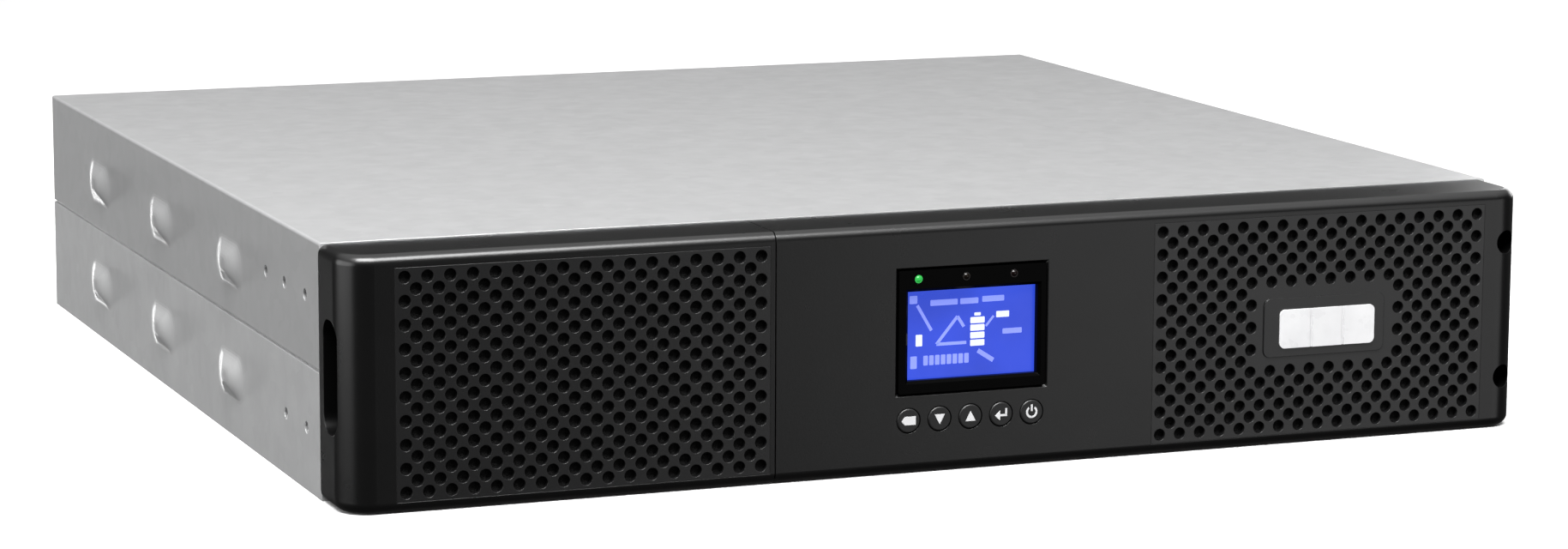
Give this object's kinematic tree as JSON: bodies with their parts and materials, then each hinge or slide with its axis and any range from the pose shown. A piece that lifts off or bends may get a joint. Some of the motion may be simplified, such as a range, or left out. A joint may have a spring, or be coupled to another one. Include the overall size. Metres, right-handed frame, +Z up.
{
  "type": "uninterruptible power supply",
  "caption": "Two-unit rack power supply: steel chassis, perforated black bezel with lit display and buttons, pull-off cover over a battery drawer, fan and sockets at the rear.",
  "frame": {"origin": "centre of the footprint, on the surface the unit rests on", "axes": "+X to the right seen from the front, +Y from the front to the rear, +Z up"},
  "size_m": [0.4432, 0.438, 0.0865],
  "materials": {
    "galvanised": "zinc-coated sheet, fine spangle",
    "top_sheet": "zinc-coated sheet, smooth",
    "bezel_black": "fine-grained moulded",
    "grille_black": "fine-grained moulded",
    "filter_foam": "open-cell foam",
    "badge_light": "satin light grey",
    "display_black": "glossy",
    "lcd_blue": "backlit display",
    "led_green": "lit light pipe",
    "led_amber": "unlit light pipe",
    "led_red": "unlit light pipe",
    "button_dark": "satin",
    "circuit_board": "solder mask",
    "switch_black": "satin",
    "ribbon_grey": "flat cable",
    "screw_zinc": "zinc plated",
    "screw_black": "blackened",
    "handle_black": "powder coated",
    "battery_case": "moulded",
    "terminal_brass": "tinned tabs",
    "wire_red": "insulated wire",
    "wire_black": "insulated cable",
    "connector_grey": "moulded",
    "connector_black": "moulded",
    "standoff_brass": "turned",
    "heatsink_alu": "extruded",
    "package_black": "moulded package",
    "can_blue": "sleeved can",
    "coil_copper": "enamelled winding",
    "core_dark": "laminated core",
    "relay_blue": "moulded",
    "filter_yellow": "moulded",
    "fan_black": "glass-filled moulding",
    "guard_chrome": "nickel-plated wire",
    "pin_nickel": "nickel plated",
    "terminal_green": "moulded",
    "strip_white": "low-friction strip"
  },
  "bodies": {
    "chassis": {"chassis_base": "galvanised", "top_cover": "top_sheet", "rear_panel": "galvanised", "front_plate": "galvanised", "bay_wall": "galvanised", "glide_strips": "strip_white", "panel_screws": "screw_zinc", "ground_stud": "screw_zinc", "main_bezel": "bezel_black", "right_grille": "grille_black", "right_filter": "filter_foam", "badge": "badge_light", "bezel_screws": "screw_black", "display_frame": "display_black", "lcd_panel": "lcd_blue", "display_board": "circuit_board", "display_screws": "screw_zinc", "green_led": "led_green", "amber_led": "led_amber", "red_led": "led_red", "button_switches": "switch_black", "display_ribbon": "ribbon_grey", "battery_socket": "connector_grey", "battery_cables": "wire_black", "power_board": "circuit_board", "board_standoffs": "standoff_brass", "heatsinks": "heatsink_alu", "power_transistors": "package_black", "bus_capacitors": "can_blue", "power_inductors": "coil_copper", "power_transformer": "core_dark", "relays": "relay_blue", "input_filter": "filter_yellow", "control_board": "circuit_board", "fan_frame": "fan_black", "fan_guard": "guard_chrome", "inlet_socket": "connector_black", "inlet_pins": "pin_nickel", "outlet_sockets": "connector_black", "outlet_board": "circuit_board", "slot_cover": "galvanised", "data_ports": "pin_nickel", "remote_terminal": "terminal_green", "battery_port": "connector_black"},
    "battery_drawer": {"battery_tray": "galvanised", "tray_handle": "handle_black", "tray_screws": "screw_zinc", "battery_blocks": "battery_case", "battery_terminals": "terminal_brass", "battery_leads": "wire_red", "battery_plug": "connector_grey"},
    "front_cover": {"battery_cover": "bezel_black", "left_grille": "grille_black", "left_filter": "filter_foam"},
    "rotor": {"fan_rotor": "fan_black"},
    "key_escape": {"button_escape": "button_dark"},
    "key_down": {"button_down": "button_dark"},
    "key_up": {"button_up": "button_dark"},
    "key_enter": {"button_enter": "button_dark"},
    "key_power": {"button_power": "button_dark"}
  },
  "joints": [
    {"name": "battery_slide", "type": "slide", "parent": "chassis", "child": "battery_drawer", "axis": [0, -1, 0], "range_m": [0, 0.3]},
    {"name": "cover_pull", "type": "slide", "parent": "chassis", "child": "front_cover", "axis": [0, -1, 0], "range_m": [0, 0.36]},
    {"name": "fan_spin", "type": "hinge", "parent": "chassis", "child": "rotor", "pos_m": [0.17, 0.2035, 0.04325], "axis": [0, 1, 0], "continuous": true},
    {"name": "press_escape", "type": "slide", "parent": "chassis", "child": "key_escape", "axis": [0, 1, 0], "range_m": [0, 0.0011], "stiffness_N_per_m": 1200},
    {"name": "press_down", "type": "slide", "parent": "chassis", "child": "key_down", "axis": [0, 1, 0], "range_m": [0, 0.0011], "stiffness_N_per_m": 1200},
    {"name": "press_up", "type": "slide", "parent": "chassis", "child": "key_up", "axis": [0, 1, 0], "range_m": [0, 0.0011], "stiffness_N_per_m": 1200},
    {"name": "press_enter", "type": "slide", "parent": "chassis", "child": "key_enter", "axis": [0, 1, 0], "range_m": [0, 0.0011], "stiffness_N_per_m": 1200},
    {"name": "press_power", "type": "slide", "parent": "chassis", "child": "key_power", "axis": [0, 1, 0], "range_m": [0, 0.0011], "stiffness_N_per_m": 1200}
  ],
  "couplings": [
    {"joint": "cover_pull", "follows": "battery_slide", "ratio": 1.2}
  ]
}
